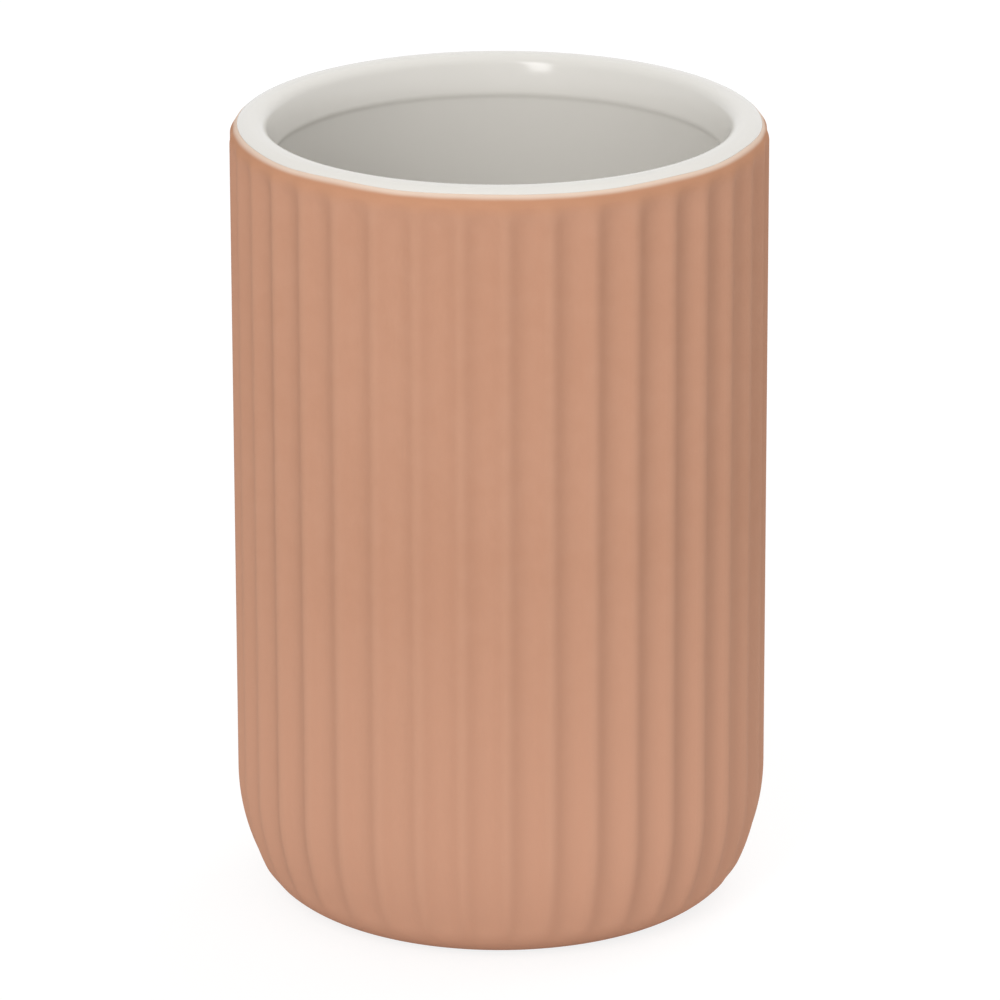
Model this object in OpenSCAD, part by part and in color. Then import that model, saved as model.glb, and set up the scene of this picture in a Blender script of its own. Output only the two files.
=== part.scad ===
// Fluted ceramic toothbrush tumbler, free standing.
// The origin is the centre of the foot ring, on the surface that the pot stands on, +Z up.

/* [Overall] */
// Height from the foot ring to the top of the rim
height = 110; // [80:1:160]
// Outside diameter over the ridges
body_d = 73; // [64:0.5:100]

/* [Rim] */
// Thickness of the rim, with its coat and glaze
rim_t = 6; // [5.8:0.1:7.5]
// Depth of the thick band inside, from the top of the rim to the step
rim_h = 4.8; // [3.8:0.1:9]
// How far the wall is set back under the band
rim_step = 0.9; // [0.3:0.1:1.4]
// Radius that rounds the rim's outer edge
rim_outer_r = 2.8; // [1.4:0.1:3]
// Radius that rounds the rim's inner edge
rim_inner_r = 2.8; // [1.4:0.1:3]

/* [Base] */
// Thickness of the floor, from the foot ring's face to the glaze inside
floor_t = 7; // [5:0.25:12]
// Radius that rounds the floor into the wall, inside
floor_r = 9; // [4:0.5:14]
// Large radius that starts the corner below the straight wall
side_arc_r = 32; // [24:0.5:34]
// Small radius that ends the corner on the foot ring
foot_arc_r = 9; // [7:0.25:11]
// Angle that the large radius turns before the small one takes over
side_turn = 24; // [18:1:30]
// Width of the flat foot ring
foot_w = 3.6; // [2:0.1:6]
// Step from the foot ring out to the rounded corner
foot_edge = 0.5; // [0.3:0.1:1]
// Depth of the recess inside the foot ring
foot_recess = 1.4; // [0.8:0.1:2.2]
// Slope of the recess's side, as run for its depth
foot_slope_share = 0.6;

/* [Flutes] */
// Number of flutes round the pot
flute_count = 38; // [30:1:44]
// Depth of a flute at its middle
flute_depth = 0.75; // [0.3:0.01:0.9]
// Width of the ridge left between two flutes
ridge_w = 0.8; // [0.5:0.05:1.4]
// Length below the rim's rounded edge over which a flute begins to die out
flute_end_h = 1.6; // [1:0.2:8]
// Share of its depth with which a flute runs on to the rim's rounded edge
rim_flute_share = 0.55; // [0:0.05:0.8]

/* [Layers] */
// Thickness of the matt coat outside
coat_t = 0.4; // [0.25:0.05:0.6]
// Thickness of the white glaze inside and over the rim
glaze_t = 0.4; // [0.25:0.05:0.6]
// Thickness of the glaze patch in the recess
base_glaze_t = 0.3; // [0.2:0.05:0.5]
// Height of the white line left between the coat's edge and the top of the rim
coat_line = 0.65; // [0.65:0.05:1.2]
// Width of the bare ceramic between the coat's lower edge and the foot ring
coat_foot_w = 2.2; // [1:0.1:2.6]

/* [Hidden] */
$fn = 96;

// Overrun of a cut past the face that it opens
over = body_d / 50;
right_angle = 90;

// Straight wall and its corner, over the ridges
body_r = body_d / 2;
side_centre = [
    body_r - side_arc_r,
    foot_arc_r + (side_arc_r - foot_arc_r) * sin(side_turn)
];
foot_outer_r = side_centre[0] + (side_arc_r - foot_arc_r) * cos(side_turn);
foot_centre = [foot_outer_r, foot_arc_r];
foot_ring_r = foot_outer_r - foot_edge;
foot_inner_r = foot_ring_r - foot_w;

// Rounding of the rim's outer edge, and the turn on it at which the coat gives way to the glaze
rim_centre = [body_r - rim_outer_r, height - rim_outer_r];
coat_turn = -asin((rim_outer_r - coat_line) / rim_outer_r);
coat_foot_turn = acos(coat_foot_w / foot_arc_r);

// Inside of the pot, as the glaze leaves it
band_r = body_r - rim_t;
wall_r = band_r + rim_step;

// Flutes: where the points of one pitch lie, as shares of it, and where a flute begins to die out
flute_pitch = 360 / flute_count;
ridge_share = ridge_w / (body_r * flute_pitch * PI / 180);
pitch_shares = [ridge_share / 2, 0.27, 0.5, 0.73, 1 - ridge_share / 2];
flute_top = rim_centre[1] - flute_end_h;
// A ridge stands just right of the front
first_ridge = -88.2;

coat_colour = "#c8967a";
glaze_colour = "#f0f0ee";
ceramic_colour = "#e6ddcf";
base_glaze_colour = "#e4e2dc";

// Point on an arc of the section, at a turn below the horizontal
function arc_point(centre, radius, turn) = [centre[0] + radius * cos(turn), centre[1] - radius * sin(turn)];

// How deep a flute is across its pitch, from 0 on the ridge to 1 at the middle
function pitch_depth_share(share) = max(0, 1 - pow((share - 1 / 2) / (1 / 2 - ridge_share / 2), 2));

// Share of the way from one end to the other, eased at both
function eased(share) = share * share * (3 - 2 * share);

// Stations up the outside. Each is an arc's centre, its radius, the turn on it and the flute's depth there
function foot_station(turn, depth_share) = [foot_centre, foot_arc_r, turn, depth_share];
function side_station(turn) = [side_centre, side_arc_r, turn, 1];
function wall_station(z, depth_share) = [[0, z], body_r, 0, depth_share];
function rim_station(turn, depth_share) = [rim_centre, rim_outer_r, turn, depth_share];

coat_stations = concat(
    [for (share = [0, 1/3, 2/3]) foot_station(coat_foot_turn * (1 - share) + side_turn * share, eased(share))],
    [for (share = [1, 1/2, 0]) side_station(side_turn * share)],
    [for (share = [0, 1/2, 1]) wall_station(flute_top + flute_end_h * share, 1 - (1 - rim_flute_share) * eased(share))],
    [for (share = [1/3, 2/3, 1]) rim_station(coat_turn * share, rim_flute_share * eased(1 - share))]
);
body_stations = concat(
    [foot_station(right_angle, 0)],
    coat_stations,
    [for (share = [1/2, 1]) rim_station(coat_turn * (1 - share) - right_angle * share, 0)]
);

// Point of the outside at a station and an angle round the pot, drawn in by a layer
function outside_point(station, layer, angle, depth_share) =
    let (
        depth = flute_depth * station[3] * depth_share,
        point = arc_point(station[0], station[1] - layer - depth, station[2])
    )
    [point[0] * cos(angle), point[0] * sin(angle), point[1]];

// Ring of points round the pot at a station
function outside_ring(station, layer) = [
    for (i = [0 : flute_count - 1], share = pitch_shares)
        outside_point(station, layer, first_ridge + (i + share) * flute_pitch, pitch_depth_share(share))
];

ring_size = flute_count * len(pitch_shares);

// Two triangles for each patch between ring k and the ring that follows it
function band_faces(k, k_next) = [
    for (i = [0 : ring_size - 1], half = [0, 1])
        let (
            a = k * ring_size,
            b = k_next * ring_size,
            n = (i + 1) % ring_size
        )
        half == 0 ? [a + i, b + i, b + n] : [a + i, b + n, a + n]
];

// Solid fluted pot with no hollow, as the bare ceramic
module fluted_solid() {
    rings = [for (station = body_stations) outside_ring(station, coat_t)];
    last = len(rings) - 1;
    polyhedron(
        points = [for (ring = rings, point = ring) point],
        faces = concat(
            [[for (i = [0 : ring_size - 1]) i]],
            [for (k = [0 : last - 1], face = band_faces(k, k + 1)) face],
            [[for (i = [ring_size - 1 : -1 : 0]) last * ring_size + i]]
        )
    );
}

// Wedge of a disc between two turns below the horizontal
module wedge_2d(centre, radius, turn_from, turn_to) {
    reach = 2 * radius;
    intersection() {
        translate(centre) circle(radius);
        polygon([
            centre,
            arc_point(centre, reach, turn_from),
            arc_point(centre, reach, (turn_from + turn_to) / 2),
            arc_point(centre, reach, turn_to)
        ]);
    }
}

// Half section of the hollow, widened by a layer
module hollow_2d(layer) {
    band = band_r + layer;
    wall = wall_r + layer;
    step_z = height - rim_h;
    corner_z = floor_t + floor_r;
    edge_z = height - rim_inner_r;
    wedge_2d([wall_r - floor_r, corner_z], floor_r + layer, 0, right_angle);
    translate([0, floor_t - layer]) square([wall_r - floor_r, floor_r + layer]);
    polygon([
        [0, corner_z],
        [wall, corner_z],
        [wall, step_z - rim_step],
        [band, step_z],
        [band, edge_z],
        [0, edge_z]
    ]);
    difference() {
        translate([0, edge_z]) square([band_r + rim_inner_r, rim_inner_r + over]);
        translate([band_r + rim_inner_r, edge_z]) circle(rim_inner_r - layer);
    }
}

// Recess under the floor, inside the foot ring
module recess_2d(depth) {
    polygon([
        [0, -over],
        [foot_inner_r + over * foot_slope_share, -over],
        [foot_inner_r - depth * foot_slope_share, depth],
        [0, depth]
    ]);
}

// The cast pot: fluted wall, thick rim, floor and foot ring
module ceramic_body() {
    color(ceramic_colour)
    difference() {
        union() {
            fluted_solid();
            cylinder(r = foot_ring_r, h = floor_t / 2);
        }
        rotate_extrude() hollow_2d(glaze_t);
        rotate_extrude() recess_2d(foot_recess);
    }
}

// The matt coat over the fluted outside, up its outer face and down its inner one
module outer_coat() {
    outer_rings = [for (station = coat_stations) outside_ring(station, 0)];
    last = len(coat_stations) - 1;
    inner_rings = [for (k = [last : -1 : 0]) outside_ring(coat_stations[k], coat_t)];
    rings = concat(outer_rings, inner_rings);
    color(coat_colour)
    polyhedron(
        points = [for (ring = rings, point = ring) point],
        faces = [for (k = [0 : len(rings) - 1], face = band_faces(k, (k + 1) % len(rings))) face]
    );
}

// The white glaze down the inside, over the rim and just over its outer edge
module white_glaze() {
    color(glaze_colour)
    rotate_extrude() {
        difference() {
            rim_cap_2d(rim_outer_r);
            rim_cap_2d(rim_outer_r - glaze_t);
            hollow_2d(0);
        }
        difference() {
            hollow_2d(glaze_t);
            hollow_2d(0);
            translate([0, height - glaze_t]) square([body_r, glaze_t + over]);
        }
    }
}

// Top of the rim down to the coat's edge, rounded outside by a radius
module rim_cap_2d(radius) {
    wedge_2d(rim_centre, radius, -right_angle, coat_turn);
    translate([0, rim_centre[1]]) square([rim_centre[0], radius]);
}

// The glaze patch in the recess under the floor
module base_glaze() {
    color(base_glaze_colour)
    translate([0, 0, foot_recess - base_glaze_t])
        cylinder(
            h = base_glaze_t,
            r1 = foot_inner_r - (foot_recess - base_glaze_t) * foot_slope_share,
            r2 = foot_inner_r - foot_recess * foot_slope_share
        );
}

ceramic_body();
outer_coat();
white_glaze();
base_glaze();
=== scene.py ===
"""Fluted ceramic toothbrush tumbler: a slip-cast pot, its matt coat and its white glaze.

Sizes are in metres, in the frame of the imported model. The pot stands on the XY plane with +Z up,
and the photograph's camera looks along +Y. A lean is the angle of a surface's normal above the
horizontal, so it is -90 degrees on the underside and 90 on top of the rim.
"""

import logging
import math
from dataclasses import dataclass, replace
from enum import Enum
from typing import Any, ClassVar, Iterable

import bmesh
import bpy
from mathutils import Matrix, Vector, noise


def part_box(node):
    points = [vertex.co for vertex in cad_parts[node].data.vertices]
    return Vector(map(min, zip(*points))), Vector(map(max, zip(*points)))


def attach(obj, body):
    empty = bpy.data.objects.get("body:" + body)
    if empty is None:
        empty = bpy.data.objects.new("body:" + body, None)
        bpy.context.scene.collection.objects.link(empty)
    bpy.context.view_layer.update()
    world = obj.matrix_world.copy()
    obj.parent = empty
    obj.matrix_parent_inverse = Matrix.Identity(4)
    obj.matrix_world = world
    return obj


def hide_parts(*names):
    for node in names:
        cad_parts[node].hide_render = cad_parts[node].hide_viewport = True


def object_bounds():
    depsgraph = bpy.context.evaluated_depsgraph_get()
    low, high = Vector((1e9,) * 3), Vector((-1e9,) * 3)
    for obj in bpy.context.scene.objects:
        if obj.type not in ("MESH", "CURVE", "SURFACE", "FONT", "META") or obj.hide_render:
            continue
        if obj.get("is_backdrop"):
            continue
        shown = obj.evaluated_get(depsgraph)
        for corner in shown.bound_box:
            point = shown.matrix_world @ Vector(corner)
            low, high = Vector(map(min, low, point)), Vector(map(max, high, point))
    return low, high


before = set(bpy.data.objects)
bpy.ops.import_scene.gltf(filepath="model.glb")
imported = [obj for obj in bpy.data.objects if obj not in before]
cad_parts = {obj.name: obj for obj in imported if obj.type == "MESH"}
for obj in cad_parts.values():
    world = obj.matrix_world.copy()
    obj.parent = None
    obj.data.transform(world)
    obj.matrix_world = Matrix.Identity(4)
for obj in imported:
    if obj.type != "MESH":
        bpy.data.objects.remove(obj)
CAD_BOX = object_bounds()

MM = 0.001
FULL_TURN = 2 * math.pi
RIGHT_ANGLE = math.pi / 2
MERGE_GAP = 0.001 * MM
ORIGIN = (0, 0, 0)
UP = (0, 0, 1)
# Profile of a bevel that makes it a circular rounding
ROUND_PROFILE = 0.5
WHITE = "#ffffff"
# The photograph's frame, which is also the render's
PHOTO_PX = 1000
SENSOR_MM = 36.0

log = logging.getLogger("tumbler")


class Slot(Enum):
    """Material slots of the record, and the CAD node that carries each."""

    COAT = ("matt_coat", "outer_coat")
    GLAZE = ("white_glaze", "white_glaze")
    CERAMIC = ("bare_ceramic", "ceramic_body")
    FOOT_GLAZE = ("base_glaze", "base_glaze")


@dataclass(frozen=True)
class SectionPoint:
    """One point of a half section, turned round the axis to make a ring.

    Args:
        radius: Distance from the axis.
        height: Height above the surface that the pot stands on.
        lean: Angle of the surface's normal above the horizontal.
        flute: Share of a flute's depth that is cut here.
        edge: Share of the coat's edge wave that moves this point.
        rounded: Whether the ring is a corner that a bevel rounds.
    """

    radius: float
    height: float
    lean: float = 0.0
    flute: float = 0.0
    edge: float = 0.0
    rounded: bool = False


def steps_between(start: float, end: float, count: int) -> list[float]:
    """Returns count + 1 even values from start to end."""
    return [start + (end - start) * i / count for i in range(count + 1)]


def smooth_share(value: float, start: float, end: float) -> float:
    """Returns how far value has gone from start to end, eased at both ends."""
    share = min(1.0, max(0.0, (value - start) / (end - start)))
    return share * share * (3 - 2 * share)


def inward(lean: float) -> Vector:
    """Returns the section's normal for a lean on a side that faces the axis."""
    return Vector((-math.cos(lean), math.sin(lean)))


def noise_round(angle: float, rate: float, seed: float) -> float:
    """Returns noise from -1 to 1 that closes on itself round the pot."""
    return noise.noise(Vector((math.cos(angle) * rate, math.sin(angle) * rate, seed)))


def arc(
    centre: tuple[float, float], radius: float, start: float, end: float, count: int
) -> list[SectionPoint]:
    """Makes points along an arc of the section.

    Args:
        centre: Radius and height of the arc's centre.
        radius: The arc's own radius.
        start: Lean at the first point.
        end: Lean at the last point.
        count: Number of steps.

    Returns:
        The points, with their leans.
    """
    return [
        SectionPoint(centre[0] + radius * math.cos(lean), centre[1] + radius * math.sin(lean), lean)
        for lean in steps_between(start, end, count)
    ]


@dataclass(frozen=True)
class SectionSteps:
    """Numbers of steps in which the half section is drawn.

    Args:
        foot_arc: Along the small arc of the base corner.
        side_arc: Along the large arc of the base corner.
        wall: Up the straight wall, to where the flutes begin to run out.
        flute_end: From there to the top of the straight wall.
        coat_rim: Along the rim's rounding under the coat's outer face.
        glaze_rim: Along the rim's rounding from its top down to the coat's edge.
        glaze_back: Along the same part on the back of the glaze.
        pot_rim: Along the whole of the rim's rounding on the pot.
        floor: Across the flat floor inside.
        fillet: Round the floor's fillet.
        lining: Up the wall inside.
        edge: Round the rim's inner edge.
        band: Down the band inside the rim.
        undercut: Round the band's undercut.
        crease: Along the crease below the undercut.
        blend: Along the blend into the wall.
    """

    foot_arc: int = 16
    side_arc: int = 12
    wall: int = 14
    flute_end: int = 8
    coat_rim: int = 14
    glaze_rim: int = 12
    glaze_back: int = 6
    pot_rim: int = 10
    floor: int = 8
    fillet: int = 14
    lining: int = 20
    edge: int = 14
    band: int = 8
    undercut: int = 8
    crease: int = 6
    blend: int = 8


@dataclass(frozen=True)
class PotSection:
    """Half section of the pot, shared by every piece.

    Args:
        height: Height over all.
        body_r: Outside radius over the ridges.
        rim_t: Thickness of the rim.
        rim_step: How far the wall is set back under the rim's band.
        rim_outer_r: Radius that rounds the rim's outer edge.
        rim_inner_r: Radius that rounds the rim's inner edge, down to the band.
        band_h: Height of the band inside the rim.
        band_lean: Lean of the band at its top.
        band_end_lean: Lean of the band at its foot.
        undercut_r: Radius that turns the band under.
        undercut_lean: How far it turns under.
        flare_h: Height of the soft crease below the undercut.
        flare_lean: How far the wall still leans under below the crease.
        floor_t: Thickness of the floor, from the foot ring's face.
        floor_r: Radius that rounds the floor into the wall.
        side_arc_r: Large radius of the base corner, below the straight wall.
        foot_arc_r: Small radius of the base corner, on to the underside.
        side_turn: Angle that the large radius turns.
        foot_edge: Step from the underside in to the foot ring.
        foot_w: Width of the foot ring.
        foot_recess: Depth of the recess inside the foot ring.
        foot_slope_share: Slope of the recess's side, as run for its depth.
        coat_t: Thickness of the coat.
        glaze_t: Thickness of the white glaze.
        base_glaze_t: Thickness of the glaze patch in the recess.
        coat_line: Height of the glaze that shows above the coat's edge.
        coat_foot_w: Width of bare ceramic between the coat's lower edge and the underside's.
        flute_end_h: Distance below the rim's rounding over which a flute begins to run out.
        flute_end_lean: Lean on the rim's rounding at which a flute has run out.
        flute_out_from: Lean on the base corner at which a flute begins to run out.
        flute_out_to: Lean on the base corner at which it has run out.
        wave_from: Share of the coat's lean on the rim at which its edge's wave begins.
        steps: Numbers of steps in which the section is drawn.
    """

    height: float
    body_r: float
    rim_t: float = 6.0 * MM
    rim_step: float = 0.9 * MM
    rim_outer_r: float = 2.8 * MM
    rim_inner_r: float = 1.9 * MM
    band_h: float = 3.5 * MM
    band_lean: float = math.radians(18)
    band_end_lean: float = math.radians(8)
    undercut_r: float = 1.6 * MM
    undercut_lean: float = math.radians(18)
    flare_h: float = 0.6 * MM
    flare_lean: float = math.radians(4)
    floor_t: float = 7.0 * MM
    floor_r: float = 9.0 * MM
    side_arc_r: float = 32.0 * MM
    foot_arc_r: float = 9.0 * MM
    side_turn: float = math.radians(24)
    foot_edge: float = 0.5 * MM
    foot_w: float = 3.6 * MM
    foot_recess: float = 1.4 * MM
    foot_slope_share: float = 0.6
    coat_t: float = 0.4 * MM
    glaze_t: float = 0.4 * MM
    base_glaze_t: float = 0.3 * MM
    coat_line: float = 0.65 * MM
    coat_foot_w: float = 2.2 * MM
    flute_end_h: float = 2.8 * MM
    flute_end_lean: float = math.radians(62)
    flute_out_from: float = math.radians(-2)
    flute_out_to: float = math.radians(-48)
    wave_from: float = 0.3
    steps: SectionSteps = SectionSteps()

    @classmethod
    def from_frame(cls) -> "PotSection":
        """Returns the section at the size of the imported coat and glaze."""
        low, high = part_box(Slot.COAT.value[1])
        return cls(height=CAD_BOX[1].z, body_r=(high.x - low.x) / 2)

    @property
    def side_centre(self) -> tuple[float, float]:
        """Centre of the large arc under the straight wall."""
        return (
            self.body_r - self.side_arc_r,
            self.foot_arc_r + (self.side_arc_r - self.foot_arc_r) * math.sin(self.side_turn),
        )

    @property
    def foot_outer_r(self) -> float:
        """Radius at which the rounded corner reaches the underside."""
        return self.side_centre[0] + (self.side_arc_r - self.foot_arc_r) * math.cos(self.side_turn)

    @property
    def foot_centre(self) -> tuple[float, float]:
        """Centre of the small arc that ends the corner."""
        return (self.foot_outer_r, self.foot_arc_r)

    @property
    def rim_centre(self) -> tuple[float, float]:
        """Centre of the rim's outer rounding."""
        return (self.body_r - self.rim_outer_r, self.height - self.rim_outer_r)

    @property
    def coat_lean(self) -> float:
        """Lean at which the coat gives way to the glaze on the rim."""
        return math.asin(1 - self.coat_line / self.rim_outer_r)

    @property
    def coat_foot_lean(self) -> float:
        """Lean of the coat's lower edge."""
        return -math.acos(self.coat_foot_w / self.foot_arc_r)

    @property
    def band_r(self) -> float:
        """Free radius inside the rim's thick band."""
        return self.body_r - self.rim_t

    @property
    def wall_r(self) -> float:
        """Free radius inside the wall below the band."""
        return self.band_r + self.rim_step

    @property
    def ring_outer_r(self) -> float:
        """Outer radius of the foot ring."""
        return self.foot_outer_r - self.foot_edge

    @property
    def ring_inner_r(self) -> float:
        """Inner radius of the foot ring."""
        return self.ring_outer_r - self.foot_w

    @property
    def recess_r(self) -> float:
        """Radius of the recess at its depth."""
        return self.ring_inner_r - self.foot_recess * self.foot_slope_share

    def corner(self, layer: float, lean_from: float) -> list[SectionPoint]:
        """Makes the rounded base corner from a lean up to the straight wall.

        Args:
            layer: How far the surface lies inside the finished outside.
            lean_from: Lean of the first point.

        Returns:
            The corner's points, upwards.
        """
        foot = arc(
            self.foot_centre, self.foot_arc_r - layer, lean_from, -self.side_turn, self.steps.foot_arc
        )
        side = arc(
            self.side_centre, self.side_arc_r - layer, -self.side_turn, 0.0, self.steps.side_arc
        )
        return [
            replace(p, flute=smooth_share(p.lean, self.flute_out_to, self.flute_out_from))
            for p in foot + side[1:]
        ]

    def wall(self, layer: float) -> list[SectionPoint]:
        """Makes the straight wall above the corner, with the flutes' upper ends.

        Args:
            layer: How far the surface lies inside the finished outside.

        Returns:
            The wall's points, upwards.
        """
        low = self.side_centre[1]
        top = self.rim_centre[1]
        fade = top - self.flute_end_h
        heights = steps_between(low, fade, self.steps.wall)[1:]
        heights += steps_between(fade, top, self.steps.flute_end)[1:]
        return [
            SectionPoint(self.body_r - layer, z, 0.0, self.flute_share_at(z - top)) for z in heights
        ]

    def flute_share_at(self, above_wall: float) -> float:
        """Returns a flute's depth share at a distance above the top of the straight wall."""
        end = self.rim_outer_r * math.sin(self.flute_end_lean)
        return 1.0 - smooth_share(above_wall, -self.flute_end_h, end)

    def edge_share_at(self, lean: float) -> float:
        """Returns how far the coat's wavy edge moves a point at a lean on the rim's rounding."""
        below = smooth_share(lean, self.wave_from * self.coat_lean, self.coat_lean)
        return below * (1 - smooth_share(lean, self.coat_lean, RIGHT_ANGLE))

    def rim_outside(
        self, layer: float, lean_from: float, lean_to: float, count: int
    ) -> list[SectionPoint]:
        """Makes part of the rim's outer rounding.

        Args:
            layer: How far the surface lies inside the finished outside.
            lean_from: Lean of the first point.
            lean_to: Lean of the last point.
            count: Number of steps.

        Returns:
            The points, in the order of their leans.
        """
        return [
            replace(
                p,
                flute=self.flute_share_at(self.rim_outer_r * math.sin(p.lean)),
                edge=self.edge_share_at(p.lean),
            )
            for p in arc(self.rim_centre, self.rim_outer_r - layer, lean_from, lean_to, count)
        ]

    def inside(self, layer: float) -> list[SectionPoint]:
        """Makes the inside from the middle of the floor up over the band to the top of the rim.

        Args:
            layer: How far the surface lies behind the finished inside.

        Returns:
            The points, from the axis outwards and up.
        """
        corner_centre = (self.wall_r - self.floor_r, self.floor_t + self.floor_r)
        floor = [
            SectionPoint(r, self.floor_t - layer)
            for r in steps_between(0.0, corner_centre[0], self.steps.floor)[:-1]
        ]
        fillet = arc(corner_centre, self.floor_r + layer, -RIGHT_ANGLE, 0.0, self.steps.fillet)
        lip = self.lip(layer)
        wall = [
            SectionPoint(self.wall_r + layer, z)
            for z in steps_between(fillet[-1].height, lip[-1].height, self.steps.lining)[1:-1]
        ]
        return floor + fillet + wall + lip[::-1]

    def lip(self, layer: float) -> list[SectionPoint]:
        """Makes the rim's inner side as a chain of arcs, from its crest down to the wall.

        The rounding of the edge comes first, then the band, the undercut, the crease and a long
        blend into the wall. Each arc starts where the one before it ends, at the same lean.

        Args:
            layer: How far the surface lies behind the finished inside.

        Returns:
            The points, downwards.
        """
        band_r = self.band_h / (math.sin(self.band_lean) - math.sin(self.band_end_lean))
        reach = self.rim_inner_r * math.cos(self.band_lean)
        reach += band_r * (math.cos(self.band_end_lean) - math.cos(self.band_lean))
        reach += self.undercut_r * (1 - math.cos(self.band_end_lean))
        flare_r = self.flare_h / (math.sin(self.undercut_lean) - math.sin(self.flare_lean))
        set_back = self.undercut_r * (1 - math.cos(self.undercut_lean))
        set_back += flare_r * (math.cos(self.flare_lean) - math.cos(self.undercut_lean))
        blend_r = (self.rim_step - set_back) / (1 - math.cos(self.flare_lean))
        bends = (
            (self.rim_inner_r, self.band_lean, self.steps.edge),
            (band_r, self.band_end_lean, self.steps.band),
            (self.undercut_r, -self.undercut_lean, self.steps.undercut),
            (-flare_r, -self.flare_lean, self.steps.crease),
            (-blend_r, 0.0, self.steps.blend),
        )
        place = Vector((self.band_r + reach, self.height))
        lean = RIGHT_ANGLE
        points = [
            SectionPoint(self.rim_centre[0], self.height - layer, lean),
            SectionPoint(place.x, place.y - layer, lean),
        ]
        for radius, lean_to, count in bends:
            centre = place - radius * inward(lean)
            for turned in steps_between(lean, lean_to, count)[1:]:
                spot = centre + (radius - layer) * inward(turned)
                points.append(SectionPoint(spot.x, spot.y, turned))
            place = centre + radius * inward(lean_to)
            lean = lean_to
        return points


@dataclass(frozen=True)
class Fluting:
    """The concave flutes round the pot and the soft ridges between them.

    Args:
        count: Number of flutes.
        depth: Depth at a flute's middle.
        ridge_share: Share of half a pitch over which a ridge is rounded.
        first_ridge: Angle of one ridge, just right of the front.
        unevenness: Share by which the depth varies from flute to flute.
        drift_rate: How fast the depth drifts round the pot.
        drift_seed: Fixed place in the noise that the drift is read from.
    """

    count: int = 38
    depth: float = 1.0 * MM
    ridge_share: float = 0.3
    first_ridge: float = math.radians(-88.7)
    unevenness: float = 0.08
    drift_rate: float = 3.0
    drift_seed: float = 1.7

    def cut_share(self, angle: float) -> float:
        """Shapes a flute across its pitch as a hollow between two narrow roundings.

        Args:
            angle: Angle round the pot.

        Returns:
            The depth share, from 0 on a ridge to 1 at a flute's middle.
        """
        pitches = (angle - self.first_ridge) * self.count / FULL_TURN
        across = abs(2 * (pitches % 1.0) - 1)
        knee = 1 - self.ridge_share
        if across < knee:
            fall = across * across
        else:
            fall = knee - (1 - across) ** 2 * knee / self.ridge_share
        return 1 - fall / knee

    def depth_at(self, angle: float) -> float:
        """Returns the depth cut at an angle, with the cast mould's slight unevenness."""
        drift = noise_round(angle, self.drift_rate, self.drift_seed)
        return self.depth * self.cut_share(angle) * (1 + self.unevenness * drift)


@dataclass(frozen=True)
class EdgeWave:
    """The slightly wavy edge that wiping leaves on the coat at the rim.

    Args:
        reach: Largest turn of the edge along the rim's rounding.
        waves: Rough number of waves round the rim.
        seed: Fixed place in the noise that the wave is read from.
    """

    reach: float = math.radians(6)
    waves: float = 5.0
    seed: float = 4.1

    def turn_at(self, angle: float) -> float:
        """Returns how far the edge lies above its mean, as a turn along the rounding."""
        return self.reach * noise_round(angle, self.waves / 2, self.seed)


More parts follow.
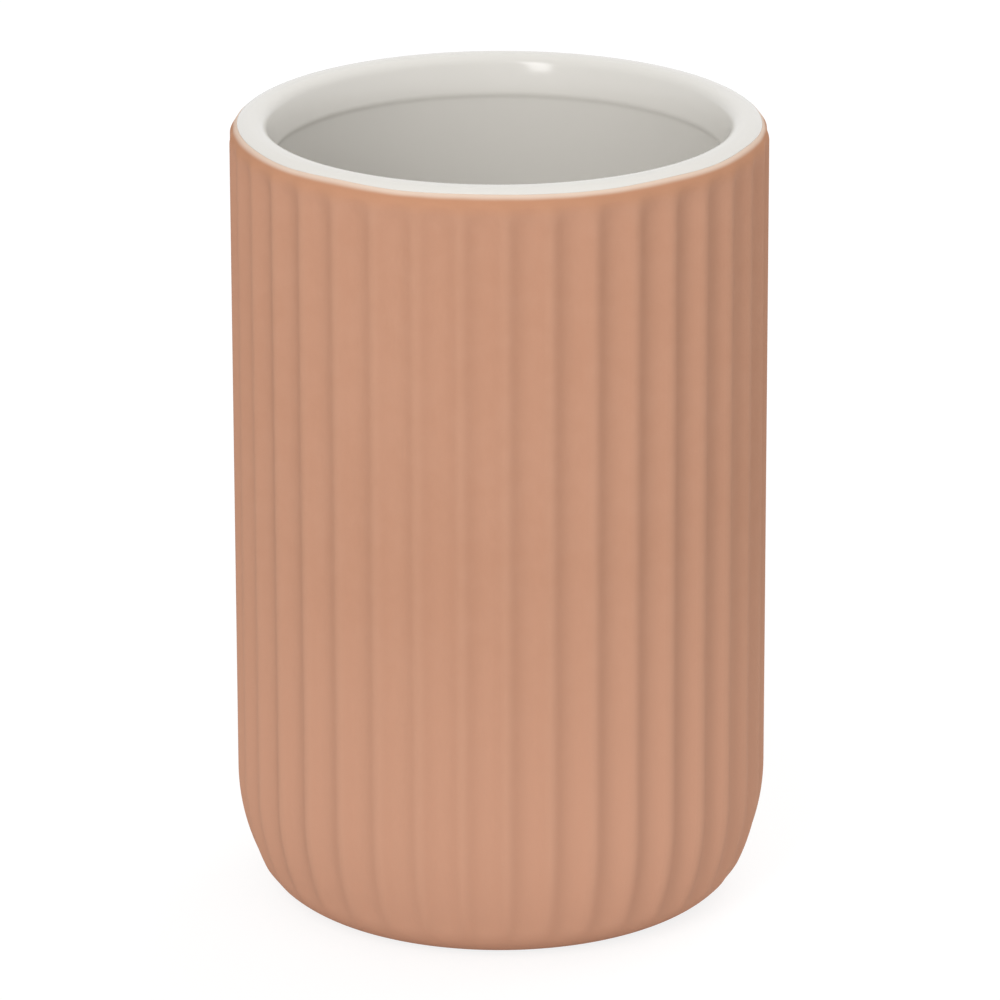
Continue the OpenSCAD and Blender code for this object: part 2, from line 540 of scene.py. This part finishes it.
@dataclass(frozen=True)
class TurnedPiece:
    """A solid turned from a half section, then fluted and wiped at the rim.

    Args:
        section: Sizes that every piece shares.
        fluting: Shape of the flutes.
        wave: Shape of the coat's edge.
        sector_steps: Number of steps in the sector that is spun.
        doublings: How often the sector is doubled to close the turn.
        bevel_w: Width of the rounding on marked corners.
        bevel_steps: Number of steps across that rounding.
    """

    section: PotSection
    fluting: Fluting
    wave: EdgeWave
    sector_steps: int = 57
    doublings: int = 3
    bevel_w: float = 0.06 * MM
    bevel_steps: int = 3

    name: ClassVar[str] = "turned_piece"
    slot: ClassVar[Slot] = Slot.CERAMIC

    def points(self) -> list[SectionPoint]:
        """Returns the half section in order."""
        raise NotImplementedError

    def closed(self) -> bool:
        """Tells whether the half section is a loop that stays off the axis."""
        return False

    def turn(self) -> bmesh.types.BMesh:
        """Spins the half section round the axis and keeps its marks on every vertex.

        A sector is spun from a ridge and doubled until the turn is closed, so that each ridge
        of a fluted piece has a row of vertices on its crest. A vertex's station is the number of
        its ring, below zero on a ring that a bevel rounds.

        Returns:
            The closed but still unfluted mesh.
        """
        mesh = bmesh.new()
        marks = {
            key: mesh.verts.layers.float.new(key) for key in ("flute", "lean", "edge", "cut")
        }
        station = mesh.verts.layers.int.new("station")
        verts = []
        start = Matrix.Rotation(self.fluting.first_ridge, 3, "Z")
        for index, point in enumerate(self.points()):
            vert = mesh.verts.new(start @ Vector((point.radius, 0.0, point.height)))
            vert[marks["flute"]] = point.flute
            vert[marks["lean"]] = point.lean
            vert[marks["edge"]] = point.edge
            vert[station] = -index - 1 if point.rounded else index + 1
            verts.append(vert)
        pairs = list(zip(verts, verts[1:]))
        if self.closed():
            pairs.append((verts[-1], verts[0]))
        edges = [mesh.edges.new(pair) for pair in pairs]
        sector = FULL_TURN / 2 ** self.doublings
        bmesh.ops.spin(
            mesh, geom=verts + edges, cent=ORIGIN, axis=UP,
            angle=sector, steps=self.sector_steps, use_merge=False, use_duplicate=False,
        )
        for doubling in range(self.doublings):
            copy = bmesh.ops.duplicate(mesh, geom=mesh.verts[:] + mesh.edges[:] + mesh.faces[:])
            moved = [part for part in copy["geom"] if isinstance(part, bmesh.types.BMVert)]
            turn = Matrix.Rotation(sector * 2 ** doubling, 3, "Z")
            bmesh.ops.rotate(mesh, verts=moved, cent=ORIGIN, matrix=turn)
            bmesh.ops.remove_doubles(mesh, verts=mesh.verts, dist=MERGE_GAP)
        return mesh

    def shape(self, mesh: bmesh.types.BMesh) -> None:
        """Cuts the flutes and waves the coat's edge by moving each vertex in its own half plane.

        Args:
            mesh: The turned mesh, whose "cut" mark is set to the share of a full flute.
        """
        layers = mesh.verts.layers.float
        flute, lean, edge, cut = (layers[key] for key in ("flute", "lean", "edge", "cut"))
        centre_r, centre_z = self.section.rim_centre
        for vert in mesh.verts:
            angle = math.atan2(vert.co.y, vert.co.x)
            radius = math.hypot(vert.co.x, vert.co.y)
            height = vert.co.z
            if vert[edge] > 0:
                turn = self.wave.turn_at(angle) * vert[edge]
                out_r, out_z = radius - centre_r, height - centre_z
                radius = centre_r + out_r * math.cos(turn) - out_z * math.sin(turn)
                height = centre_z + out_r * math.sin(turn) + out_z * math.cos(turn)
            depth = self.fluting.depth_at(angle) * vert[flute]
            vert[cut] = self.fluting.cut_share(angle) * vert[flute]
            radius -= depth * math.cos(vert[lean])
            height -= depth * math.sin(vert[lean])
            vert.co = (radius * math.cos(angle), radius * math.sin(angle), height)

    def round_corners(self, mesh: bmesh.types.BMesh) -> None:
        """Bevels the rings that the section marks as corners.

        Args:
            mesh: The turned and fluted mesh.
        """
        station = mesh.verts.layers.int["station"]
        rings = [
            edge for edge in mesh.edges
            if edge.verts[0][station] < 0 and edge.verts[0][station] == edge.verts[1][station]
        ]
        if rings:
            bmesh.ops.bevel(
                mesh, geom=rings, offset=self.bevel_w, offset_type="OFFSET",
                segments=self.bevel_steps, profile=ROUND_PROFILE, affect="EDGES", material=-1,
            )

    def build(self, finish: bpy.types.Material) -> bpy.types.Object:
        """Makes the piece, dresses it and ties it to the frame.

        Args:
            finish: Material of the whole piece.

        Returns:
            The new object, at the origin.
        """
        mesh = self.turn()
        self.shape(mesh)
        bmesh.ops.recalc_face_normals(mesh, faces=mesh.faces)
        self.round_corners(mesh)
        for face in mesh.faces:
            face.smooth = True
        data = bpy.data.meshes.new(self.name)
        mesh.to_mesh(data)
        mesh.free()
        data.materials.append(finish)
        piece = bpy.data.objects.new(self.name, data)
        bpy.context.collection.objects.link(piece)
        slot_name, node = self.slot.value
        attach(piece, "root")
        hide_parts(node)
        return piece


class MattCoat(TurnedPiece):
    """The coloured coat over the fluted outside, from the foot to its wiped edge at the rim."""

    name = "matt_slip_coat"
    slot = Slot.COAT

    def side(self, layer: float) -> list[SectionPoint]:
        """Makes one side of the coat, from its lower edge up to its edge at the rim.

        Args:
            layer: How far the side lies inside the finished outside.

        Returns:
            The side's points, upwards.
        """
        section = self.section
        rim = section.rim_outside(layer, 0.0, section.coat_lean, section.steps.coat_rim)
        return section.corner(layer, section.coat_foot_lean) + section.wall(layer) + rim[1:]

    def points(self) -> list[SectionPoint]:
        """Makes the coat's half section.

        Returns:
            The outer side up and the inner side down.
        """
        outer = self.side(0.0)
        inner = self.side(self.section.coat_t)
        outer[0] = replace(outer[0], rounded=True)
        outer[-1] = replace(outer[-1], rounded=True)
        return outer + inner[::-1]

    def closed(self) -> bool:
        """The coat is a sleeve, so its section is a loop."""
        return True


class WhiteGlaze(TurnedPiece):
    """The glaze over the rim and down the whole inside."""

    name = "white_glaze_lining"
    slot = Slot.GLAZE

    def points(self) -> list[SectionPoint]:
        """Makes the glaze's half section.

        Returns:
            The free side from the floor over the rim, then the back of the layer.
        """
        section = self.section
        steps = section.steps
        free = section.inside(0.0)
        rim = section.rim_outside(0.0, RIGHT_ANGLE, section.coat_lean, steps.glaze_rim)
        rim[-1] = replace(rim[-1], rounded=True)
        back_rim = section.rim_outside(
            section.glaze_t, section.coat_lean, RIGHT_ANGLE, steps.glaze_back
        )
        back = section.inside(section.glaze_t)
        return free + rim[1:] + back_rim + back[-2::-1]


class CastPot(TurnedPiece):
    """The ceramic pot under its layers, bare only on the foot ring."""

    name = "cast_pot"
    slot = Slot.CERAMIC

    def points(self) -> list[SectionPoint]:
        """Makes the pot's half section.

        Returns:
            The underside, the outside, the rim and the inside.
        """
        section = self.section
        underside = [
            SectionPoint(0.0, section.foot_recess),
            SectionPoint(section.recess_r, section.foot_recess),
            SectionPoint(section.ring_inner_r, 0.0, rounded=True),
            SectionPoint(section.ring_outer_r, 0.0, rounded=True),
            SectionPoint(section.ring_outer_r, section.coat_t),
        ]
        outside = section.corner(section.coat_t, -RIGHT_ANGLE) + section.wall(section.coat_t)
        rim = section.rim_outside(section.coat_t, 0.0, RIGHT_ANGLE, section.steps.pot_rim)
        return underside + outside + rim[1:] + section.inside(section.glaze_t)[-2::-1]


class FootGlaze(TurnedPiece):
    """The patch of glaze in the recess inside the foot ring, thin at its drawn-up edge."""

    name = "foot_glaze_patch"
    slot = Slot.FOOT_GLAZE
    # Width of the drawn-up edge for each thickness of the patch
    edge_spread: ClassVar[int] = 4
    # Shares of that width and of the thickness, from the recess's corner inwards
    edge_curve: ClassVar[tuple[tuple[float, float], ...]] = ((0.15, 0.45), (0.4, 0.75), (0.7, 0.93))
    top_steps: ClassVar[int] = 6
    face_steps: ClassVar[int] = 5

    def points(self) -> list[SectionPoint]:
        """Makes the patch's half section.

        Returns:
            The side against the recess, the edge and the free face.
        """
        section = self.section
        deep = section.foot_recess
        reach = section.recess_r
        inner = reach - self.edge_spread * section.base_glaze_t
        top = [SectionPoint(r, deep) for r in steps_between(0.0, reach, self.top_steps)]
        edge = [
            SectionPoint(reach - (reach - inner) * across, deep - section.base_glaze_t * down)
            for across, down in self.edge_curve
        ]
        free = deep - section.base_glaze_t
        face = [SectionPoint(r, free) for r in steps_between(inner, 0.0, self.face_steps)]
        return top + edge + face


def linear(hex_colour: str) -> tuple[float, float, float, float]:
    """Turns an sRGB hex colour into the linear colour that shaders take, by the standard's curve.

    Args:
        hex_colour: Colour as #rrggbb.

    Returns:
        Red, green, blue and a full alpha.
    """
    parts = [int(hex_colour[i:i + 2], 16) / 255 for i in (1, 3, 5)]
    curved = [c / 12.92 if c <= 0.04045 else ((c + 0.055) / 1.055) ** 2.4 for c in parts]
    return (curved[0], curved[1], curved[2], 1.0)


def add_node(
    tree: bpy.types.NodeTree, kind: str, inputs: dict[Any, Any] | None = None, **settings: Any
) -> bpy.types.Node:
    """Adds a node with its settings, its fixed inputs and its links.

    Args:
        tree: Node tree that the node goes into.
        kind: Blender's name of the node's type.
        inputs: Socket name or number to a value, or to the output socket that feeds it.
        **settings: Attributes of the node itself.

    Returns:
        The new node.
    """
    node = tree.nodes.new(kind)
    for key, value in settings.items():
        setattr(node, key, value)
    for key, value in (inputs or {}).items():
        if isinstance(value, bpy.types.NodeSocket):
            tree.links.new(value, node.inputs[key])
        else:
            node.inputs[key].default_value = value
    return node


def new_material(name: str) -> tuple[bpy.types.Material, bpy.types.NodeTree]:
    """Makes an empty node material.

    Args:
        name: Name of the material.

    Returns:
        The material and its node tree.
    """
    material = bpy.data.materials.new(name)
    material.use_nodes = True
    material.node_tree.nodes.clear()
    return material, material.node_tree


def object_place(tree: bpy.types.NodeTree) -> bpy.types.NodeSocket:
    """Adds the place on the piece, in metres, and returns its socket."""
    return add_node(tree, "ShaderNodeTexCoord").outputs["Object"]


def add_noise(
    tree: bpy.types.NodeTree,
    place: bpy.types.NodeSocket,
    grain: float,
    detail: float,
    roughness: float = 0.5,
) -> bpy.types.NodeSocket:
    """Adds noise with features about as wide as a grain.

    Args:
        tree: Node tree that the noise goes into.
        place: Socket of the place on the piece.
        grain: Width of a feature in metres.
        detail: Number of finer layers of noise.
        roughness: Strength of each finer layer against the one before it.

    Returns:
        The socket of the noise's value.
    """
    node = add_node(tree, "ShaderNodeTexNoise", {
        "Vector": place, "Scale": 1.0 / (2 * grain), "Detail": detail, "Roughness": roughness,
    })
    return node.outputs["Fac"]


def add_ramp(
    tree: bpy.types.NodeTree,
    value: bpy.types.NodeSocket,
    ends: tuple[float, float],
    most: float = 1.0,
    interpolation: str = "SMOOTHSTEP",
) -> bpy.types.NodeSocket:
    """Adds a share that grows from nothing as a value goes from one end to the other.

    Args:
        tree: Node tree that the ramp goes into.
        value: Socket of the value.
        ends: Value at which the share starts, and the one at which it is full.
        most: The full share.
        interpolation: Blender's name of the way in which it grows.

    Returns:
        The socket of the share.
    """
    node = add_node(tree, "ShaderNodeMapRange", {
        "Value": value, "From Min": ends[0], "From Max": ends[1], "To Min": 0.0, "To Max": most,
    }, interpolation_type=interpolation)
    return node.outputs[0]


def add_mix(
    tree: bpy.types.NodeTree, share: bpy.types.NodeSocket, first: Any, second: str
) -> bpy.types.NodeSocket:
    """Adds a colour laid over another by a share.

    Args:
        tree: Node tree that the mix goes into.
        share: Socket of the second colour's share.
        first: Linear colour or socket of the colour below.
        second: Hex colour laid over it.

    Returns:
        The socket of the mixed colour.
    """
    node = add_node(tree, "ShaderNodeMix", {
        "Factor": share, "A": first, "B": linear(second),
    }, data_type="RGBA")
    return node.outputs["Result"]


def add_bump(
    tree: bpy.types.NodeTree, height: bpy.types.NodeSocket, rise: float
) -> bpy.types.NodeSocket:
    """Adds a bump as high as a rise in metres and returns the socket of its normal."""
    bump = add_node(tree, "ShaderNodeBump", {"Height": height, "Strength": 1.0, "Distance": rise})
    return bump.outputs["Normal"]


def add_surface(tree: bpy.types.NodeTree, inputs: dict[Any, Any]) -> None:
    """Adds a surface with the inputs and makes it the material's output."""
    shader = add_node(tree, "ShaderNodeBsdfPrincipled", inputs)
    add_node(tree, "ShaderNodeOutputMaterial", {"Surface": shader.outputs[0]})


@dataclass(frozen=True)
class MattSlipCoatFinish:
    """Coloured slip sprayed on and fired matt.

    It scatters light almost evenly, has no highlight, is a little warmer near the rim where it is
    thick, is painted a little paler towards the foot as painted light bounced up from the floor,
    and turns cream in a thin line where the sponge has thinned it at the rim.

    Args:
        colour: Main colour.
        deep_colour: Colour of the darker clouds.
        warm_colour: Colour near the rim.
        thin_colour: Colour of the thinned line at the rim.
        painted_bounce_colour: Paler colour painted towards the foot, a painted stand-in for light
            bounced up from the floor.
        cloud_ends: Noise at which a cloud starts and at which it is full.
        cloud_share: Share of the darker colour in a full cloud.
        painted_bounce_ends: Heights at which the painted bounce light starts and is full.
        warm_ends: Distances below the top at which the rim's colour starts and is full.
        warm_share: Share of the rim's colour where it is full.
        thin_ends: Marks of the edge at which the thinned line starts and is full.
        thin_share: Share of the thinned line's colour where it is full.
        roughness: Roughness of the surface.
        ior: Index of refraction.
        gloss: Strength of the reflection, as the shader takes it.
        cloud: Width of a cloud.
        mottle: Width of the finer mottling.
        mottle_roughness: Strength of each finer layer of the mottling.
        grain: Width of the surface's grain.
        grain_rise: Height of the surface's grain.
    """

    colour: str = "#bd8f76"
    deep_colour: str = "#b18065"
    warm_colour: str = "#c28b67"
    thin_colour: str = "#e2cbb9"
    # Painted light: a paler coat colour towards the foot that stands in for light bounced up from the
    # floor
    painted_bounce_colour: str = "#c3947b"
    cloud_ends: tuple[float, float] = (0.8, 1.25)
    cloud_share: float = 0.22
    # Heights over which the painted bounce light fades in downwards towards the foot
    painted_bounce_ends: tuple[float, float] = (62.0 * MM, 14.0 * MM)
    warm_ends: tuple[float, float] = (4 * MM, 1.5 * MM)
    warm_share: float = 0.5
    thin_ends: tuple[float, float] = (0.35, 1.0)
    thin_share: float = 0.95
    roughness: float = 0.85
    ior: float = 1.45
    gloss: float = 0.12
    cloud: float = 14.0 * MM
    mottle: float = 1.6 * MM
    mottle_roughness: float = 0.55
    grain: float = 0.35 * MM
    grain_rise: float = 0.02 * MM

    def material(self, section: PotSection) -> bpy.types.Material:
        """Builds the finish.

        Args:
            section: Gives the height that the rim's warm band is measured from.

        Returns:
            The new material.
        """
        material, tree = new_material("matt_slip_coat")
        place = object_place(tree)
        tone = add_node(tree, "ShaderNodeMath", {
            0: add_noise(tree, place, self.cloud, 2.0),
            1: add_noise(tree, place, self.mottle, 3.0, self.mottle_roughness),
        }, operation="ADD").outputs[0]
        height = add_node(tree, "ShaderNodeSeparateXYZ", {0: place}).outputs["Z"]
        edge = add_node(tree, "ShaderNodeAttribute", attribute_name="edge").outputs["Fac"]
        warm_from, warm_to = (section.height - below for below in self.warm_ends)
        clouds = add_ramp(tree, tone, self.cloud_ends, self.cloud_share, "LINEAR")
        # Painted bounce light: the coat is painted paler towards the foot in place of light from the
        # floor
        foot = add_ramp(tree, height, self.painted_bounce_ends)
        warm = add_ramp(tree, height, (warm_from, warm_to), self.warm_share)
        thin = add_ramp(tree, edge, self.thin_ends, self.thin_share)
        colour = add_mix(tree, clouds, linear(self.colour), self.deep_colour)
        colour = add_mix(tree, foot, colour, self.painted_bounce_colour)
        colour = add_mix(tree, warm, colour, self.warm_colour)
        colour = add_mix(tree, thin, colour, self.thin_colour)
        add_surface(tree, {
            "Base Color": colour, "Roughness": self.roughness, "IOR": self.ior,
            "Specular IOR Level": self.gloss,
            "Normal": add_bump(tree, add_noise(tree, place, self.grain, 2.0), self.grain_rise),
        })
        return material


@dataclass(frozen=True)
class GlazedStonewareFinish:
    """White tin glaze fired glossy.

    It is a clean, faintly warm white with a soft waviness that bends its highlights.

    Args:
        name: Name of the material.
        colour: Colour of the glaze.
        roughness: Roughness of the surface.
        ior: Index of refraction.
        ripple: Width of the waviness.
        ripple_rise: Height of the waviness.
    """

    name: str = "white_glazed_stoneware"
    colour: str = "#dfdcd6"
    roughness: float = 0.13
    ior: float = 1.52
    ripple: float = 7.0 * MM
    ripple_rise: float = 0.03 * MM

    def material(self) -> bpy.types.Material:
        """Builds the finish.

        Returns:
            The new material.
        """
        material, tree = new_material(self.name)
        ripple = add_noise(tree, object_place(tree), self.ripple, 1.0)
        add_surface(tree, {
            "Base Color": linear(self.colour), "Roughness": self.roughness, "IOR": self.ior,
            "Normal": add_bump(tree, ripple, self.ripple_rise),
        })
        return material


@dataclass(frozen=True)
class BareEarthenwareFinish:
    """Fired clay with no glaze, ground flat on the foot ring.

    It is a dry buff with fine darker specks.

    Args:
        colour: Colour of the clay.
        speck_colour: Colour of the specks.
        speck_ends: Noise at which a speck starts and at which it is full.
        speck_share: Share of the specks' colour in a full speck.
        roughness: Roughness of the surface.
        speck: Width of a speck.
        speck_rise: Height of a speck.
    """

    colour: str = "#e0d3bf"
    speck_colour: str = "#b9a68c"
    speck_ends: tuple[float, float] = (0.55, 0.75)
    speck_share: float = 0.6
    roughness: float = 0.9
    speck: float = 0.5 * MM
    speck_rise: float = 0.02 * MM

    def material(self) -> bpy.types.Material:
        """Builds the finish.

        Returns:
            The new material.
        """
        material, tree = new_material("bare_earthenware")
        speck = add_noise(tree, object_place(tree), self.speck, 3.0)
        share = add_ramp(tree, speck, self.speck_ends, self.speck_share, "LINEAR")
        add_surface(tree, {
            "Base Color": add_mix(tree, share, linear(self.colour), self.speck_colour),
            "Roughness": self.roughness, "Normal": add_bump(tree, speck, self.speck_rise),
        })
        return material


@dataclass(frozen=True)
class PhotoCamera:
    """The photograph's camera, which looks at the pot from the front and a little above.

    Args:
        distance: From the lens to the point that it looks at.
        elevation: Angle above the horizontal.
        focal_px: Focal length in pixels of the photograph.
        aim_height: Height of the point that it looks at.
        roll: Turn of the camera about its own axis.
        near_share: Share of the distance at which its view begins.
        far_share: Share of the distance at which its view ends.
    """

    distance: float = 1.016
    elevation: float = math.radians(18.6)
    focal_px: float = 7406.0
    aim_height: float = 55.47 * MM
    roll: float = math.radians(-0.15)
    near_share: float = 0.01
    far_share: float = 10.0

    def build(self) -> bpy.types.Object:
        """Makes the camera and gives it to the scene.

        Returns:
            The new camera.
        """
        data = bpy.data.cameras.new("photo_camera")
        data.sensor_width = SENSOR_MM
        data.lens = self.focal_px / PHOTO_PX * SENSOR_MM
        data.clip_start = self.distance * self.near_share
        data.clip_end = self.distance * self.far_share
        camera = bpy.data.objects.new("photo_camera", data)
        bpy.context.collection.objects.link(camera)
        back = Vector((0.0, -math.cos(self.elevation), math.sin(self.elevation)))
        camera.location = Vector((0.0, 0.0, self.aim_height)) + back * self.distance
        turn = (-back).to_track_quat("-Z", "Y").to_matrix().to_4x4()
        camera.rotation_euler = (turn @ Matrix.Rotation(self.roll, 4, "Z")).to_euler()
        bpy.context.scene.camera = camera
        return camera


@dataclass(frozen=True)
class SoftBox:
    """A rectangular soft light aimed at the pot.

    Args:
        name: Name of the lamp.
        azimuth: Angle round the pot from the camera's side, positive to the camera's right.
        elevation: Angle above the horizontal.
        distance: From the pot.
        width: Width of the light.
        tall: Height of the light.
        power: Power of the lamp in watts.
        glossy: Whether the lamp itself shows in the glaze.
    """

    name: str
    azimuth: float
    elevation: float
    distance: float
    width: float
    tall: float
    power: float
    glossy: bool = False

    def build(self, target: Vector) -> bpy.types.Object:
        """Makes the lamp.

        Args:
            target: Point that the light faces.

        Returns:
            The new lamp.
        """
        data = bpy.data.lights.new(self.name, "AREA")
        data.shape = "RECTANGLE"
        data.size = self.width
        data.size_y = self.tall
        data.energy = self.power
        lamp = bpy.data.objects.new(self.name, data)
        bpy.context.collection.objects.link(lamp)
        out = Vector((
            math.sin(self.azimuth) * math.cos(self.elevation),
            -math.cos(self.azimuth) * math.cos(self.elevation),
            math.sin(self.elevation),
        ))
        lamp.location = target + out * self.distance
        lamp.rotation_euler = (-out).to_track_quat("-Z", "Y").to_euler()
        lamp.visible_glossy = self.glossy
        return lamp


@dataclass(frozen=True)
class Studio:
    """Pale floor, white surroundings and soft lights.

    Args:
        world_level: Strength of the surroundings as a light.
        floor_size: Side of the square floor.
        floor_colour: Colour of the floor as the pot's light sees it.
        floor_show: Share of the floor that shows as plain white to the camera.
        floor_glow: Strength of that white.
    """

    world_level: float = 0.53
    floor_size: float = 4.0
    floor_colour: str = "#f6f6f6"
    floor_show: float = 0.75
    floor_glow: float = 1.1

    def world(self) -> None:
        """Sets plain surroundings that show white and light the pot evenly."""
        world = bpy.data.worlds.new("plain_studio")
        bpy.context.scene.world = world
        world.use_nodes = True
        tree = world.node_tree
        tree.nodes.clear()
        path = add_node(tree, "ShaderNodeLightPath")
        seen = add_node(tree, "ShaderNodeMath", {
            0: path.outputs["Is Camera Ray"], 1: path.outputs["Is Glossy Ray"],
        }, operation="MAXIMUM")
        light, shown = (
            add_node(tree, "ShaderNodeBackground", {"Color": linear(WHITE), "Strength": level})
            for level in (self.world_level, 1.0)
        )
        mix = add_node(tree, "ShaderNodeMixShader", {
            0: seen.outputs[0], 1: light.outputs[0], 2: shown.outputs[0],
        })
        add_node(tree, "ShaderNodeOutputWorld", {"Surface": mix.outputs[0]})

    def floor_material(self) -> bpy.types.Material:
        """Builds a floor that shows nearly white and still takes the pot's shadow.

        Returns:
            The new material.
        """
        material, tree = new_material("pale_floor")
        path = add_node(tree, "ShaderNodeLightPath")
        seen = add_node(tree, "ShaderNodeMath", {
            0: path.outputs["Is Camera Ray"], 1: self.floor_show,
        }, operation="MULTIPLY")
        matt = add_node(tree, "ShaderNodeBsdfDiffuse", {"Color": linear(self.floor_colour)})
        glow = add_node(tree, "ShaderNodeEmission", {
            "Color": linear(WHITE), "Strength": self.floor_glow,
        })
        mix = add_node(tree, "ShaderNodeMixShader", {
            0: seen.outputs[0], 1: matt.outputs[0], 2: glow.outputs[0],
        })
        add_node(tree, "ShaderNodeOutputMaterial", {"Surface": mix.outputs[0]})
        return material

    def floor(self) -> bpy.types.Object:
        """Makes the floor under the pot.

        Returns:
            The new floor.
        """
        mesh = bmesh.new()
        bmesh.ops.create_grid(mesh, x_segments=1, y_segments=1, size=self.floor_size / 2)
        data = bpy.data.meshes.new("floor")
        mesh.to_mesh(data)
        mesh.free()
        data.materials.append(self.floor_material())
        floor = bpy.data.objects.new("floor", data)
        bpy.context.collection.objects.link(floor)
        floor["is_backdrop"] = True
        return floor

    def lights(self, target: Vector) -> list[bpy.types.Object]:
        """Makes the soft boxes.

        Args:
            target: Point that they face.

        Returns:
            The new lamps.
        """
        boxes = (
            SoftBox(
                "key_box", azimuth=math.radians(-21), elevation=math.radians(35), distance=1.4,
                width=0.27, tall=0.85, power=3.9, glossy=True,
            ),
            SoftBox(
                "front_box", azimuth=math.radians(-14), elevation=math.radians(24), distance=1.4,
                width=1.0, tall=1.0, power=6.2,
            ),
            SoftBox(
                "right_box", azimuth=math.radians(40), elevation=math.radians(20), distance=1.4,
                width=1.0, tall=0.7, power=0.8,
            ),
            SoftBox(
                "right_back_box", azimuth=math.radians(135), elevation=math.radians(50),
                distance=1.5, width=1.2, tall=1.2, power=6.6,
            ),
            SoftBox(
                "back_box", azimuth=math.radians(180), elevation=math.radians(54), distance=1.5,
                width=1.8, tall=1.4, power=2.2,
            ),
        )
        return [box.build(target) for box in boxes]


def write_sizes() -> None:
    """Gathers the CAD box and the finished object's box as plain lists, but keeps nothing and writes
    no file.
    """
    boxes = {"cad": CAD_BOX, "visual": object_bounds()}
    {key: [list(corner) for corner in box] for key, box in boxes.items()}


def build_pieces(section: PotSection) -> Iterable[bpy.types.Object]:
    """Builds and dresses each piece of the pot in order.

    Args:
        section: Half section that the pieces share.

    Yields:
        Each new piece.
    """
    fluting = Fluting()
    wave = EdgeWave()
    glaze = GlazedStonewareFinish()
    foot_glaze = GlazedStonewareFinish(name="foot_glaze", colour="#e9e6de", roughness=0.2)
    yield MattCoat(section, fluting, wave).build(MattSlipCoatFinish().material(section))
    yield WhiteGlaze(section, fluting, wave).build(glaze.material())
    yield CastPot(section, fluting, wave, doublings=2).build(BareEarthenwareFinish().material())
    yield FootGlaze(section, fluting, wave, doublings=1).build(foot_glaze.material())


def main() -> None:
    """Builds the camera, the studio and the pot, and reports each piece."""
    logging.basicConfig(level=logging.INFO, format="%(message)s")
    PhotoCamera().build()
    bpy.context.scene.view_settings.view_transform = "Standard"
    studio = Studio()
    studio.world()
    studio.floor()
    section = PotSection.from_frame()
    studio.lights(Vector((0.0, 0.0, section.height / 2)))
    for piece in build_pieces(section):
        log.info("%s: %d faces", piece.name, len(piece.data.polygons))
    write_sizes()


if __name__ == "__main__":
    main()
